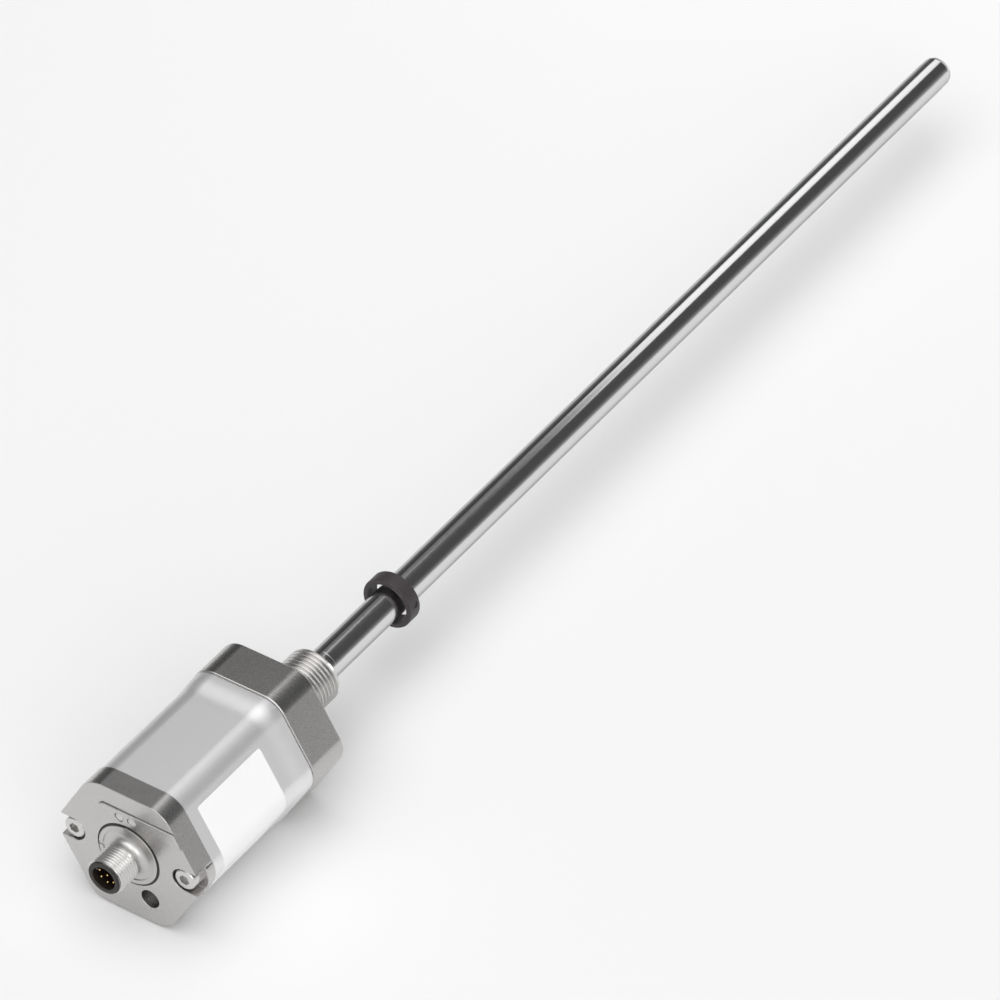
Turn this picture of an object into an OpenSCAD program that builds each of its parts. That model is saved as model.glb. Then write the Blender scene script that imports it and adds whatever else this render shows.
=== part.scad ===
// Rod-style magnetostrictive position sensor with a hexagonal head, a threaded
// stud, a pressure-proof probe rod and a ring magnet that travels along it.
// Millimetres. The origin is the centre of the flange's mounting face,
// +X runs along the rod towards its tip and +Z is up.

/* [Flange] */
// Width across flats of the hexagonal flange
flange_af = 46; // [42:0.5:60]
// Thickness of the hexagonal flange
flange_t = 14.5; // [13:0.5:24]
// Radius of the hexagon's rounded corners, on flange, sleeve and cover
corner_r = 8; // [5:0.5:11]
// Outer diameter of the M18x1.5 mounting thread
thread_d = 18; // [17:0.5:24]
// Length of the stud, from the mounting face to its end
stud_len = 22; // [16:0.5:40]
// Chamfer at the end of the stud
stud_chamfer = 1; // [0.5:0.1:2]
// Length of the undercut between the mounting face and the thread
relief_len = 2.4; // [1.9:0.1:3.2]

/* [Probe rod] */
// Outer diameter of the probe rod
rod_d = 10.2; // [9:0.1:11]
// Wall of the probe tube
rod_wall = 1; // [0.6:0.1:1.2]
// Length of the rod beyond the mounting face
rod_len = 364; // [260:1:900]
// Length of the welded end plug that shows
plug_len = 4.5; // [3:0.5:10]
// Rounding of the end plug's edge
plug_round = 1; // [0.4:0.1:1.6]
// How far the tube runs back into the flange
rod_seat = 6; // [4:0.5:8]

/* [Position magnet] */
// Outer diameter of the ring magnet
magnet_od = 17; // [16:0.5:40]
// Bore of the ring magnet
magnet_id = 13.5; // [12.5:0.5:15]
// Width of the ring magnet along the rod
magnet_w = 5; // [4:0.5:12]
// Distance of the magnet's middle from the mounting face
magnet_x = 60; // [40:1:120]

/* [Housing sleeve] */
// Length of the sleeve between flange and cover
sleeve_len = 46.8; // [42:0.2:80]
// Wall of the sleeve at its flats
sleeve_wall = 2.7; // [2:0.1:4]
// How far the sleeve's flats stand back from the flange's flats
sleeve_step = 0.8; // [0.4:0.1:1.4]
// How far the flared end's flats stand back from the flange's flats
flare_step = 0.15; // [0.05:0.05:0.3]
// Length over which the sleeve flares out
flare_len = 7.5; // [4:0.5:12]
// Straight land between the flare and the flange
flare_land = 2; // [1:0.5:4]

/* [Front cover] */
// Thickness of the cover
cover_t = 7.7; // [6.8:0.1:12]
// How far the cover's flats stand back from the flange's flats
cover_step = 0.5; // [0.2:0.1:1]
// Depth of the pocket in the cover's back
pocket_depth = 3; // [2.6:0.1:3.4]
// Height of the raised band that holds the status lights
band_h = 4.3; // [3.6:0.1:5]
// Height of the band's middle above the axis
band_z = 14; // [13.8:0.1:15]
// How far the band stands proud of the cover
band_proud = 0.5; // [0.2:0.1:1]
// Distance of the band's rounded end from the middle
band_end = 9.2; // [5:0.1:12]
// Rounding of the band's end
band_round = 1.5; // [0.5:0.1:1.7]
// Diameter of the two status lights
light_d = 3; // [2:0.1:3.2]
// Distance between the two status lights
light_pitch = 4.3; // [3.8:0.1:8]
// Height of the status lights above the axis
light_z = 13.6; // [13.4:0.1:14.2]
// Diameter of the blind hole beside the connector
hole_d = 6.2; // [3:0.1:6.4]
// Sideways place of the blind hole
hole_y = -6.8; // [-7.5:0.1:-6.5]
// Height of the blind hole, below the axis
hole_z = -13.8; // [-14.2:0.1:-13.6]
// Depth of the blind hole
hole_depth = 6; // [3:0.1:6.2]

/* [Tie screws] */
// Diameter of the two tie screws
screw_d = 4; // [3:0.5:4]
// How far a tie screw reaches into the flange
screw_bite = 5; // [4:0.5:8]
// Diameter of the screw's head
screw_head_d = 7; // [6:0.1:7.4]
// Height of the screw's head
screw_head_h = 4; // [3:0.1:4]
// Width across flats of the hexagon socket
screw_socket = 3; // [2:0.5:4]
// Depth of the hexagon socket
screw_socket_depth = 2; // [1:0.1:2.5]
// Distance of the screw's axis from the sleeve's corner
screw_edge = 5.15; // [4.6:0.05:5.6]

/* [Connector] */
// Outer diameter of the M12x1 connector thread
con_d = 12; // [11.6:0.1:12.4]
// How far the connector stands out from the cover
con_len = 11.8; // [10:0.1:16]
// Length of the connector's thread
con_thread_len = 8.3; // [6:0.1:8.6]
// Diameter of the smooth neck behind the thread
con_neck_d = 10.4; // [10.2:0.1:11]
// Bore of the metal shell
con_bore = 9; // [8.8:0.1:9.6]
// Outer diameter of the connector's rim
con_rim_d = 20.2; // [19:0.1:20.6]
// Inner diameter of the connector's raised rim
con_rim_in_d = 17.3; // [16.8:0.1:18]
// How far the rim stands proud of the cover
con_rim_proud = 0.4; // [0.2:0.1:0.8]
// Depth of the step inside the rim
con_rim_step = 0.3; // [0.1:0.1:0.3]
// Radius of the fillet between the rim and the neck
con_fillet = 2.2; // [1:0.1:2.2]
// Width of the two slots in the rim
con_slot_w = 1.2; // [0.8:0.1:2]
// Outer diameter of the connector's seal
con_seal_d = 21.4; // [21:0.1:22]
// Thickness of the connector's seal
con_seal_t = 0.8; // [0.5:0.1:1.2]
// Diameter of the shank that passes through the cover
con_shank_d = 15.6; // [15:0.1:16]
// Width across flats of the nut behind the cover
con_nut_af = 19; // [18.5:0.1:19.2]
// Thickness of the nut
con_nut_t = 2.4; // [2:0.1:2.6]
// Diameter of the insert's open mouth
con_mouth_d = 7.6; // [7.2:0.1:7.8]
// Depth of the insert's open mouth
con_mouth_depth = 8; // [6:0.1:8.6]
// Diameter of the circle of seven contact pins
pin_circle_d = 5.5; // [5:0.1:5.6]
// Diameter of a contact pin
pin_d = 0.8; // [0.6:0.1:1]
// How far the pins' tips lie inside the mouth
pin_recess = 1.1; // [0.5:0.1:3]

/* [Label] */
// Distance of the label from the flange
label_gap = 12.8; // [10:0.1:14]
// Length of the label along the sleeve
label_len = 29.5; // [20:0.5:30]
// How far the label reaches beyond the middle of a flat
label_reach = 6.6; // [2:0.1:8]
// Thickness of the label
label_t = 0.15; // [0.1:0.05:0.3]

/* [Electronics] */
// Thickness of the circuit boards
board_t = 1.6; // [1:0.1:1.6]
// Room between a board's long edges and the sleeve
board_side = 0.55; // [0.4:0.05:1.5]
// Room between a board's ends and the cover or the flange
board_gap = 2.8; // [2.4:0.1:3.2]
// Diameter of the round board behind the connector
con_board_d = 18; // [14:0.5:20]

/* [Sensing element] */
// Diameter of the waveguide wire
guide_d = 0.7; // [0.5:0.1:0.9]
// Outer diameter of the sleeve around the waveguide
guide_sleeve_d = 3; // [2.4:0.1:3.2]
// Diameter of the return conductor
return_d = 0.8; // [0.6:0.1:0.9]
// Height of the return conductor, below the axis
return_z = -2.7; // [-2.9:0.1:-2.6]
// Distance between the centring spacers
spacer_pitch = 60; // [30:5:90]
// Width of a centring spacer
spacer_w = 5; // [3:0.5:8]
// Length of the damping element
damper_len = 18; // [10:0.5:24]

/* [Hidden] */
$fn = 64;
eps = 0.01;

// Clearances between pieces that fit together
slide_gap = 0.05;
loose_gap = 0.1;
hole_gap = 0.2;

// Hexagon sizes
sleeve_af = flange_af - 2 * sleeve_step;
flare_af = flange_af - 2 * flare_step;
cover_af = flange_af - 2 * cover_step;
cavity_af = sleeve_af - 2 * sleeve_wall;
corner_facets = 10;
function corner_reach(af) = (af / 2 - corner_r) / cos(30) + corner_r;

// Places along the axis
sleeve_x0 = -flange_t - sleeve_len;
cover_x0 = sleeve_x0 - cover_t;
pocket_x = sleeve_x0 - pocket_depth;

// Tie screws
screw_y = corner_reach(sleeve_af) - screw_edge;
screw_hole_r = screw_d / 2 + hole_gap;
notch_r = screw_head_d / 2 + 0.5;
notch_depth = screw_head_h + 0.3;
notch_x = cover_x0 + notch_depth;
screw_end = -flange_t + screw_bite;
screw_web = 1.5;
cavity_half_w = screw_y - screw_hole_r - screw_web;

// Gaskets, between the cavity's edge and the tie screws
gasket_t = 0.8;
gasket_in = 0.35;
gasket_out = 1.05;

// Connector
con_x = cover_x0 - con_len;
con_lip = 0.5;
con_thread_x = con_x + con_lip;
con_face_x = cover_x0 - con_rim_proud + con_rim_step;
con_seat_x = cover_x0 + con_seal_t;
con_back_x = sleeve_x0 - 0.5;
con_seal_in_d = con_rim_in_d + 0.6;
insert_d = con_bore - 2 * loose_gap;
insert_back_x = sleeve_x0;
con_mouth_x = con_x + con_mouth_depth;
con_board_x = insert_back_x + loose_gap;
pin_x0 = con_x + pin_recess;
pin_x1 = con_board_x + 1.6;
key_angle = 140;
pocket_d = con_nut_af / cos(30) + 1;

// Status lights and the upper board, which the lights stand on
led_h = 2.2;
led_w = 1.6;
board_z = light_z - led_h / 2;
board_x0 = sleeve_x0 + board_gap;
board_x1 = -flange_t - board_gap - 1;
board_l = board_x1 - board_x0;
board_w = 2 * (cavity_half_w - board_side);
rail_h = 1;
rail_in = 0.9;
light_end = board_x0 - 0.3;

// Head of the sensing element
tube_r = rod_d / 2;
tube_in_r = tube_r - rod_wall;
head_r = 11;
head_depth = 6.5;
head_floor_x = -flange_t + head_depth;
carrier_lip = 3.5;
carrier_x1 = head_floor_x - loose_gap;
carrier_x2 = -flange_t - carrier_lip;
bar_w = 12;
bar_h = 10;
bar_len = 27;
bar_x0 = carrier_x2 - bar_len;
coil_x0 = bar_x0 + 9.5;
coil_len = 13;
coil_room = 0.3;
bobbin_r = 4;
bobbin_core_r = 1.4;
bobbin_cheek = 1;
clamp_len = 5;
clamp_r = 2;

// Sensing element inside the rod
plug_x = rod_len - plug_len;
plug_spigot = 4;
terminal_len = 4;
terminal_x = plug_x - plug_spigot - terminal_len - 1;
damper_x = terminal_x - damper_len - 0.2;
guide_sleeve_x0 = carrier_x2 + 2;
guide_sleeve_x1 = damper_x - 0.3;
spacer_first = 20;
spacer_count = floor((guide_sleeve_x1 - spacer_first - spacer_w) / spacer_pitch) + 1;

// A flat outline drawn in Y and Z, extruded from x0 to x1
module along_x(x0, x1) {
    translate([x0, 0, 0])
        rotate([90, 0, 90])
            linear_extrude(height = x1 - x0)
                children();
}

// A profile of points [x, radius], turned about the X axis
module turned(points) {
    rotate([0, 90, 0])
        rotate_extrude()
            polygon([for (p = points) [p[1], p[0]]]);
}

// A round bar or drill along X
module rod_x(r, x0, x1, y = 0, z = 0) {
    translate([x0, y, z])
        rotate([0, 90, 0])
            cylinder(r = r, h = x1 - x0);
}

// A ring with a plain rectangular section
module ring_x(r_out, r_in, x0, x1) {
    difference() {
        rod_x(r_out, x0, x1);
        rod_x(r_in, x0 - 1, x1 + 1);
    }
}

// Corners of a rounded hexagon, flats at the top and the bottom, with the
// given number of straight facets on each rounded corner
function hex_points(af, r, facets) = [
    for (k = [0:5], i = [0:facets])
        let (reach = (af / 2 - r) / cos(30), turn = 60 * k - 30 + 60 * i / facets)
            [
                reach * cos(60 * k) + r * cos(turn),
                reach * sin(60 * k) + r * sin(turn)
            ]
];

// Rounded hexagon with true arcs at its corners
module rounded_hex(af, r = corner_r) {
    polygon(hex_points(af, r, 1));
    for (k = [0:5])
        rotate(60 * k)
            translate([(af / 2 - r) / cos(30), 0])
                circle(r = r);
}

// Outline of the sleeve's cavity, grown outwards by the given margin
module cavity_outline(margin = 0) {
    intersection() {
        rounded_hex(cavity_af + 2 * margin, corner_r - sleeve_wall + margin);
        square([2 * (cavity_half_w + margin), flange_af], center = true);
    }
}

// Sealing frame that follows the cavity inside the tie screws
module gasket_outline(gap = 0) {
    difference() {
        cavity_outline(gasket_out + gap);
        cavity_outline(gasket_in - gap);
    }
}

// One copy on each side, at the tie screws
module at_screws() {
    for (side = [-1, 1])
        translate([0, side * screw_y, 0])
            children();
}

// One copy at each status light
module at_lights() {
    for (side = [-1, 1])
        translate([0, side * light_pitch / 2, light_z])
            children();
}

// Places of the eight contact pins: seven on a circle and one in the middle
function pin_place(k) =
    k == 7 ? [0, 0]
           : [
               -pin_circle_d / 2 * cos(key_angle + (k + 0.5) * 360 / 7),
               pin_circle_d / 2 * sin(key_angle + (k + 0.5) * 360 / 7)
           ];

module at_pins() {
    for (k = [0:7])
        translate([0, pin_place(k)[0], pin_place(k)[1]])
            children();
}

// Stainless flange and stud, turned and milled from one bar
module mounting_flange() {
    relief_r = thread_d / 2 - 1.3;
    color([0.66, 0.65, 0.64])
        difference() {
            union() {
                along_x(-flange_t, 0)
                    rounded_hex(flange_af);
                turned([
                    [-1, 0],
                    [-1, relief_r],
                    [relief_len, relief_r],
                    [relief_len, thread_d / 2],
                    [stud_len - stud_chamfer, thread_d / 2],
                    [stud_len, thread_d / 2 - stud_chamfer],
                    [stud_len, 0]
                ]);
            }
            rod_x(tube_r + slide_gap, -rod_seat, stud_len + 1);
            rod_x(tube_in_r, -flange_t - 1, 0);
            rod_x(head_r, -flange_t - 1, head_floor_x);
            at_screws()
                rod_x(screw_d / 2 + slide_gap, -flange_t - 1, screw_end + 1.2);
            along_x(-flange_t - 1, -flange_t + gasket_t)
                gasket_outline(slide_gap);
        }
}

// Polished tube, welded into the flange
module probe_tube() {
    color([0.8, 0.8, 0.8])
        ring_x(tube_r, tube_in_r, -rod_seat, plug_x);
}

// Plug that closes the tube's end
module tube_end_plug() {
    plug_r = tube_r - 0.1;
    color([0.76, 0.76, 0.76])
        turned(concat(
            [
                [plug_x - plug_spigot, 0],
                [plug_x - plug_spigot, tube_in_r - slide_gap],
                [plug_x, tube_in_r - slide_gap],
                [plug_x, plug_r]
            ],
            [
                for (a = [90:-15:0])
                    [
                        rod_len - plug_round + plug_round * cos(a),
                        plug_r - plug_round + plug_round * sin(a)
                    ]
            ],
            [[rod_len, 0]]
        ));
}

// Hexagonal sleeve with a flared end, bored for boards and tie screws
module housing_sleeve() {
    flare_x1 = -flange_t - flare_land;
    flare_x0 = flare_x1 - flare_len;
    sleeve_outline = hex_points(sleeve_af, corner_r, corner_facets);
    flare_outline = hex_points(flare_af, corner_r + (flare_af - sleeve_af) / 2, corner_facets);
    color([0.79, 0.78, 0.78])
        difference() {
            union() {
                along_x(sleeve_x0, -flange_t)
                    polygon(sleeve_outline);
                hull() {
                    along_x(flare_x0, flare_x0 + eps)
                        polygon(sleeve_outline);
                    along_x(flare_x1, -flange_t)
                        polygon(flare_outline);
                }
            }
            along_x(sleeve_x0 - 1, -flange_t + 1)
                difference() {
                    cavity_outline();
                    board_rails();
                }
            at_screws()
                rod_x(screw_hole_r, sleeve_x0 - 1, -flange_t + 1);
        }
}

// Rails on the cavity's side walls that hold the two boards
module board_rails() {
    reach = board_w / 2 - rail_in;
    for (side = [-1, 1], end = [-1, 1], lift = [0, 1])
        scale([side, end])
            translate([reach, lift ? board_z + loose_gap : board_z - board_t - loose_gap - rail_h])
                square([flange_af, rail_h]);
}

// Front cover: two open notches for the screws, a raised band and a blind hole
module front_cover() {
    color([0.8, 0.8, 0.8])
        difference() {
            union() {
                along_x(cover_x0, sleeve_x0)
                    rounded_hex(cover_af);
                along_x(cover_x0 - band_proud, cover_x0 + eps)
                    band_outline();
            }
            at_screws() {
                rod_x(notch_r, cover_x0 - 1, notch_x);
                rod_x(screw_hole_r, cover_x0 - 1, sleeve_x0 + 1);
            }
            for (side = [-1, 1])
                translate([cover_x0 - 1, side > 0 ? screw_y : -screw_y - flange_af, -notch_r])
                    cube([notch_depth + 1, flange_af, 2 * notch_r]);
            rod_x(con_shank_d / 2 + loose_gap, cover_x0 - 1, sleeve_x0 + 1);
            rod_x(con_seal_d / 2 + slide_gap, cover_x0 - 1, con_seat_x);
            rod_x(pocket_d / 2, pocket_x, sleeve_x0 + 1);
            at_lights()
                rod_x(light_d / 2, cover_x0 - band_proud - 1, sleeve_x0 + 1);
            rod_x(hole_d / 2, cover_x0 - 1, cover_x0 + hole_depth, hole_y, hole_z);
            along_x(sleeve_x0 - gasket_t, sleeve_x0 + 1)
                gasket_outline(slide_gap);
        }
}

// Raised band, from its rounded end to the edge of the cover
module band_outline() {
    intersection() {
        rounded_hex(cover_af);
        union() {
            translate([-flange_af, band_z - band_h / 2])
                square([flange_af + band_end - band_round, band_h]);
            translate([-flange_af, band_z - band_h / 2 + band_round])
                square([flange_af + band_end, band_h - 2 * band_round]);
            for (side = [-1, 1])
                translate([band_end - band_round, band_z + side * (band_h / 2 - band_round)])
                    circle(r = band_round);
        }
    }
}

// Long socket-head screws that tie cover, sleeve and flange together
module tie_screws() {
    color([0.72, 0.71, 0.7])
        at_screws()
            difference() {
                union() {
                    turned([
                        [notch_x - screw_head_h, 0],
                        [notch_x - screw_head_h, screw_head_d / 2 - 0.3],
                        [notch_x - screw_head_h + 0.3, screw_head_d / 2],
                        [notch_x, screw_head_d / 2],
                        [notch_x, 0]
                    ]);
                    rod_x(screw_d / 2, notch_x - 1, screw_end);
                }
                along_x(notch_x - screw_head_h - 1, notch_x - screw_head_h + screw_socket_depth)
                    circle(d = screw_socket / cos(30), $fn = 6);
            }
}

// Profile gaskets in the grooves of the flange and the cover
module rear_gasket() {
    color([0.12, 0.12, 0.12])
        along_x(-flange_t, -flange_t + gasket_t)
            gasket_outline();
}

module front_gasket() {
    color([0.12, 0.12, 0.12])
        along_x(sleeve_x0 - gasket_t, sleeve_x0)
            gasket_outline();
}

// Turned metal shell of the connector, with its thread left plain
module connector_shell() {
    neck_r = con_neck_d / 2;
    fillet_x = con_face_x - con_fillet;
    fillet_r = neck_r + con_fillet;
    color([0.78, 0.78, 0.77])
        difference() {
            turned(concat(
                [
                    [con_back_x, 0],
                    [con_back_x, con_shank_d / 2],
                    [con_seat_x, con_shank_d / 2],
                    [con_seat_x, con_seal_in_d / 2 - slide_gap],
                    [cover_x0, con_seal_in_d / 2 - slide_gap],
                    [cover_x0, con_rim_d / 2],
                    [cover_x0 - con_rim_proud, con_rim_d / 2],
                    [cover_x0 - con_rim_proud, con_rim_in_d / 2],
                    [con_face_x, con_rim_in_d / 2]
                ],
                [
                    for (a = [0:15:90])
                        [fillet_x + con_fillet * cos(a), fillet_r - con_fillet * sin(a)]
                ],
                [
                    [con_thread_x + con_thread_len, neck_r],
                    [con_thread_x + con_thread_len, con_d / 2],
                    [con_thread_x + con_lip, con_d / 2],
                    [con_thread_x, con_d / 2 - con_lip],
                    [con_thread_x, 0]
                ]
            ));
            rod_x(con_bore / 2, con_x - 1, con_back_x + 1);
            for (turn = [0, 90])
                rotate([turn, 0, 0])
                    translate([con_face_x - 1, -con_slot_w / 2, con_rim_in_d / 2 - 0.3])
                        cube([1, con_slot_w, con_rim_d]);
        }
}

// Black moulded insert that holds the contacts, with a coding key
module connector_insert() {
    color([0.13, 0.12, 0.12])
        difference() {
            union() {
                rod_x(con_d / 2 - con_lip - slide_gap, con_x, con_thread_x);
                rod_x(insert_d / 2, con_thread_x - eps, insert_back_x);
            }
            difference() {
                rod_x(con_mouth_d / 2, con_x - 1, con_mouth_x);
                rotate([180 - key_angle, 0, 0])
                    translate([con_x, con_mouth_d / 2 - 0.8, -0.55])
                        cube([con_mouth_depth, 2, 1.1]);
            }
            at_pins()
                rod_x(pin_d / 2 + slide_gap, con_x - 1, insert_back_x + 1);
        }
}

// Gold-plated contact pins
module connector_pins() {
    color([0.83, 0.66, 0.36])
        at_pins()
            turned([
                [pin_x0, 0],
                [pin_x0, pin_d / 4],
                [pin_x0 + 0.3, pin_d / 2],
                [pin_x1, pin_d / 2],
                [pin_x1, 0]
            ]);
}

// Black seal between the connector's rim and the cover
module connector_seal() {
    round_edge = 0.2;
    color([0.1, 0.1, 0.1])
        turned([
            [con_seat_x, con_seal_in_d / 2],
            [con_seat_x, con_seal_d / 2],
            [cover_x0 + round_edge, con_seal_d / 2],
            [cover_x0, con_seal_d / 2 - round_edge],
            [cover_x0, con_seal_in_d / 2]
        ]);
}

// Nut that holds the connector behind the cover
module connector_nut() {
    color([0.74, 0.74, 0.74])
        along_x(pocket_x, pocket_x + con_nut_t)
            difference() {
                circle(d = con_nut_af / cos(30), $fn = 6);
                circle(d = con_shank_d + 2 * slide_gap);
            }
}

// Round board that the contact pins are soldered to
module connector_board() {
    color([0.1, 0.35, 0.2])
        difference() {
            rod_x(con_board_d / 2, con_board_x, con_board_x + 1);
            at_pins()
                rod_x(pin_d / 2 + slide_gap, con_board_x - 1, con_board_x + 2);
        }
}

// Clear light pipes, flush with the raised band
module light_pipes() {
    color([0.85, 0.88, 0.86])
        at_lights()
            rod_x(light_d / 2 - slide_gap, cover_x0 - band_proud, light_end);
}

// Printed film that wraps over one corner of the sleeve
module rating_label() {
    end_x = -flange_t - label_gap;
    // the end of the label on its flat, and a point well outside it
    flat = sleeve_af / 2;
    edge = [
        -flat * cos(30) + label_reach * sin(30),
        flat * sin(30) + label_reach * cos(30)
    ];
    color([0.97, 0.97, 0.97])
        along_x(end_x - label_len, end_x)
            intersection() {
                difference() {
                    rounded_hex(sleeve_af + 2 * label_t, corner_r + label_t);
                    rounded_hex(sleeve_af);
                }
                polygon([[0, 0], edge * 2, [-2 * flange_af, 0], [edge[0], -edge[1]] * 2]);
            }
}

// Ring magnet, moulded, with a small blind hole in its side
module position_magnet() {
    color([0.26, 0.24, 0.25])
        difference() {
            ring_x(magnet_od / 2, magnet_id / 2, magnet_x - magnet_w / 2, magnet_x + magnet_w / 2);
            rotate([-12, 0, 0])
                translate([magnet_x + 0.4, -magnet_od / 2 + 0.7, 0])
                    rotate([90, 0, 0])
                        cylinder(d = 2, h = 2, $fn = 32);
        }
}

// Upper and lower circuit boards
module board(z) {
    color([0.1, 0.38, 0.22])
        translate([board_x0, -board_w / 2, z])
            cube([board_l, board_w, board_t]);
}

module main_board() {
    board(board_z - board_t);
}

module power_board() {
    board(-board_z);
}

// Stacking header between the two boards
module board_header() {
    color([0.12, 0.12, 0.13])
        translate([board_x0 + 8, bar_w / 2 + 3, board_t - board_z])
            cube([14, 3.5, 2 * (board_z - board_t)]);
}

module processor_chip() {
    color([0.15, 0.15, 0.16])
        translate([board_x0 + board_l / 2 - 4.5, -4.5, board_z])
            cube([9, 9, 1.2]);
}

module signal_chips() {
    color([0.16, 0.16, 0.17])
        for (place = [[7, -7], [7, 3], [board_l - 9, -8], [board_l - 9, 2]])
            translate([board_x0 + place[0], place[1], board_z])
                cube([4, 5, 1.5]);
}

module status_leds() {
    color([0.9, 0.9, 0.8])
        for (side = [-1, 1])
            translate([board_x0, side * light_pitch / 2 - led_w / 2, board_z])
                cube([1.5, led_w, led_h]);
}

module power_inductor() {
    color([0.2, 0.2, 0.2])
        translate([board_x0 + 9, 0, -board_z - 4])
            cylinder(r = 4, h = 4);
}

module power_capacitors() {
    color([0.75, 0.72, 0.6])
        for (k = [0:2])
            translate([board_x0 + 20 + 7 * k, 0, -board_z - 4.5])
                cylinder(r = 2.5, h = 4.5);
}

// Flexible strip from the connector's board to the upper board
module connector_flex() {
    x0 = con_board_x + 1;
    z1 = board_z - board_t;
    color([0.75, 0.5, 0.15])
        translate([0, 4, 0])
            rotate([90, 0, 0])
                linear_extrude(height = 8)
                    polygon([
                        [x0, pin_circle_d / 2 + 1],
                        [x0 + 0.3, pin_circle_d / 2 + 1],
                        [x0 + 0.3, 7.5],
                        [x0 + 5, z1 - 0.3],
                        [x0 + 10, z1 - 0.3],
                        [x0 + 10, z1],
                        [x0 + 4.8, z1],
                        [x0, 7.7]
                    ]);
}

// Flexible strip from the pick-up to the upper board
module head_flex() {
    x0 = carrier_x2 - 3.5;
    z0 = bar_h / 2;
    z1 = board_z - board_t;
    color([0.75, 0.5, 0.15])
        translate([0, 3, 0])
            rotate([90, 0, 0])
                linear_extrude(height = 6)
                    polygon([
                        [x0, z0],
                        [x0 + 3, z0],
                        [x0 + 3, z1],
                        [x0 - 3, z1],
                        [x0 - 3, z1 - 0.3],
                        [x0 + 2.7, z1 - 0.3],
                        [x0 + 2.7, z0 + 0.3],
                        [x0, z0 + 0.3]
                    ]);
}

// Moulded carrier that plugs into the flange and holds the pick-up
module head_carrier() {
    coil_hole_h = bobbin_r + 0.2;
    color([0.2, 0.22, 0.25])
        difference() {
            union() {
                rod_x(head_r - loose_gap, carrier_x2, carrier_x1);
                translate([bar_x0, -bar_w / 2, -bar_h / 2])
                    cube([bar_len + eps, bar_w, bar_h]);
            }
            translate([coil_x0, -coil_hole_h, -coil_hole_h])
                cube([coil_len, 2 * coil_hole_h, bar_h]);
            rod_x(guide_d / 2 + loose_gap, bar_x0 - 1, carrier_x1 + 1);
            rod_x(guide_sleeve_d / 2 + loose_gap, guide_sleeve_x0 - loose_gap, carrier_x1 + 1);
            rod_x(clamp_r + slide_gap, bar_x0 - 1, bar_x0 + clamp_len);
            rod_x(return_d / 2 + loose_gap, carrier_x2 - 2, carrier_x1 + 1, 0, return_z);
        }
}

// Bobbin and winding that pick up the returning pulse
module pickup_bobbin() {
    x0 = coil_x0 + coil_room;
    x1 = coil_x0 + coil_len - coil_room;
    color([0.85, 0.83, 0.75])
        difference() {
            union() {
                rod_x(bobbin_core_r, x0, x1);
                rod_x(bobbin_r, x0, x0 + bobbin_cheek);
                rod_x(bobbin_r, x1 - bobbin_cheek, x1);
            }
            rod_x(guide_d / 2 + loose_gap, x0 - 1, x1 + 1);
        }
}

module pickup_coil() {
    x0 = coil_x0 + coil_room + bobbin_cheek + slide_gap;
    x1 = coil_x0 + coil_len - coil_room - bobbin_cheek - slide_gap;
    color([0.72, 0.4, 0.2])
        ring_x(bobbin_r - 0.6, bobbin_core_r + slide_gap, x0, x1);
}

// Small magnet that biases the pick-up
module bias_magnet() {
    color([0.35, 0.35, 0.37])
        translate([coil_x0 + 2.5, -2.5, bobbin_r + slide_gap])
            cube([8, 5, 2.5]);
}

// Folded screen over the pick-up
module shield_can() {
    sheet = 0.4;
    inner_w = bar_w + 2 * loose_gap;
    top_z = bobbin_r + 3.2;
    color([0.7, 0.7, 0.68])
        difference() {
            translate([coil_x0 - 2, -inner_w / 2 - sheet, -bar_h / 2])
                cube([coil_len + 4, inner_w + 2 * sheet, bar_h / 2 + top_z + sheet]);
            translate([coil_x0 - 3, -inner_w / 2, -bar_h / 2 - 1])
                cube([coil_len + 6, inner_w, bar_h / 2 + top_z + 1]);
        }
}

// Magnetostrictive wire, from its clamp to the end terminal
module waveguide() {
    color([0.8, 0.78, 0.72])
        rod_x(guide_d / 2, bar_x0 + 0.5, terminal_x + terminal_len / 2);
}

module waveguide_clamp() {
    color([0.78, 0.65, 0.35])
        ring_x(clamp_r, guide_d / 2 + slide_gap, bar_x0, bar_x0 + clamp_len - slide_gap);
}

// Low-friction sleeve around the waveguide
module waveguide_sleeve() {
    color([0.9, 0.9, 0.88])
        ring_x(guide_sleeve_d / 2, guide_d / 2 + loose_gap, guide_sleeve_x0, guide_sleeve_x1);
}

module return_conductor() {
    color([0.75, 0.2, 0.15])
        rod_x(return_d / 2, carrier_x2 - 1.5, terminal_x + terminal_len / 2, 0, return_z);
}

// Spacers that keep the sleeve in the middle of the tube
module centring_spacers() {
    color([0.92, 0.9, 0.84])
        for (k = [0:spacer_count - 1])
            translate([spacer_first + spacer_pitch * k, 0, 0])
                difference() {
                    ring_x(tube_in_r - loose_gap, guide_sleeve_d / 2 + slide_gap, 0, spacer_w);
                    rod_x(return_d / 2 + slide_gap, -1, spacer_w + 1, 0, return_z);
                }
}

// Soft sleeve that swallows the wave at the end of the waveguide
module damping_element() {
    color([0.45, 0.18, 0.16])
        difference() {
            ring_x(tube_in_r - hole_gap, guide_d / 2 + slide_gap, damper_x, damper_x + damper_len);
            rod_x(return_d / 2 + slide_gap, damper_x - 1, terminal_x, 0, return_z);
        }
}

// Crimp that joins the waveguide and the return conductor
module end_terminal() {
    color([0.8, 0.7, 0.4])
        difference() {
            rod_x(tube_in_r - 0.3, terminal_x, terminal_x + terminal_len);
            rod_x(guide_d / 2 + slide_gap, terminal_x - 1, terminal_x + terminal_len - 1);
            rod_x(return_d / 2 + slide_gap, terminal_x - 1, terminal_x + terminal_len - 1, 0, return_z);
        }
}

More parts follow.
